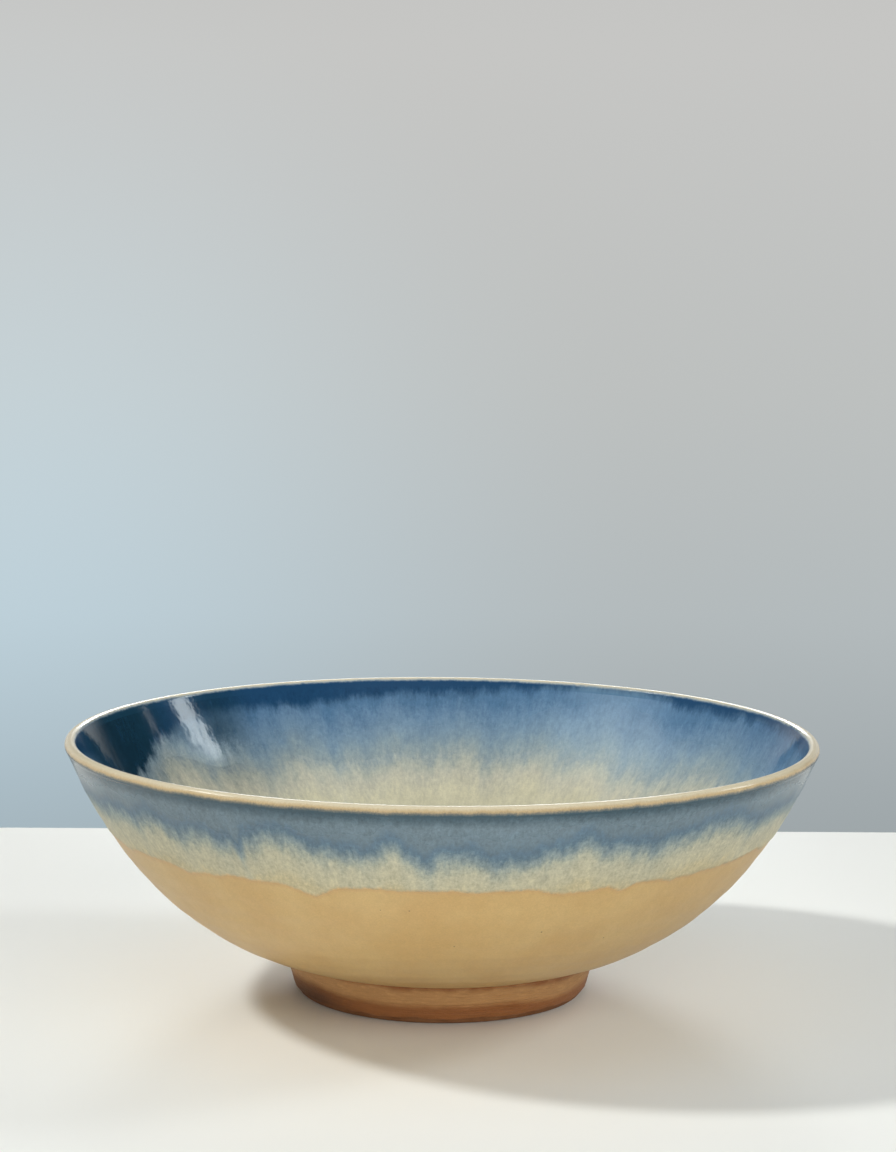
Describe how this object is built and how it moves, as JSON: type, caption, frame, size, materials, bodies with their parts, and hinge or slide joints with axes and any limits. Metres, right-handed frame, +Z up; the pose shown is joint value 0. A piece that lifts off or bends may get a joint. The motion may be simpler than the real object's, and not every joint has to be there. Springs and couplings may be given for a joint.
{
  "type": "punch bowl",
  "caption": "Wide hand-thrown stoneware bowl with a rounded lip, a leaning foot ring and bands of blue, cream and tan glaze.",
  "frame": {"origin": "centre of the foot's standing face, on the surface that the bowl stands on", "axes": "+Z up along the bowl's axis of turning; +X and +Y are any two square directions across it"},
  "size_m": [0.36, 0.36, 0.124],
  "materials": {
    "stoneware_clay": "matte",
    "iron_wash": "satin",
    "lip_glaze": "gloss",
    "blue_glaze": "gloss",
    "cream_glaze": "gloss",
    "tan_glaze": "satin"
  },
  "bodies": {
    "root": {"bowl_body": "stoneware_clay", "foot_ring": "stoneware_clay", "foot_wash": "iron_wash", "lip_glaze": "lip_glaze", "inner_blue_glaze": "blue_glaze", "inner_cream_glaze": "cream_glaze", "outer_blue_glaze": "blue_glaze", "outer_cream_glaze": "cream_glaze", "outer_tan_glaze": "tan_glaze"}
  },
  "joints": []
}
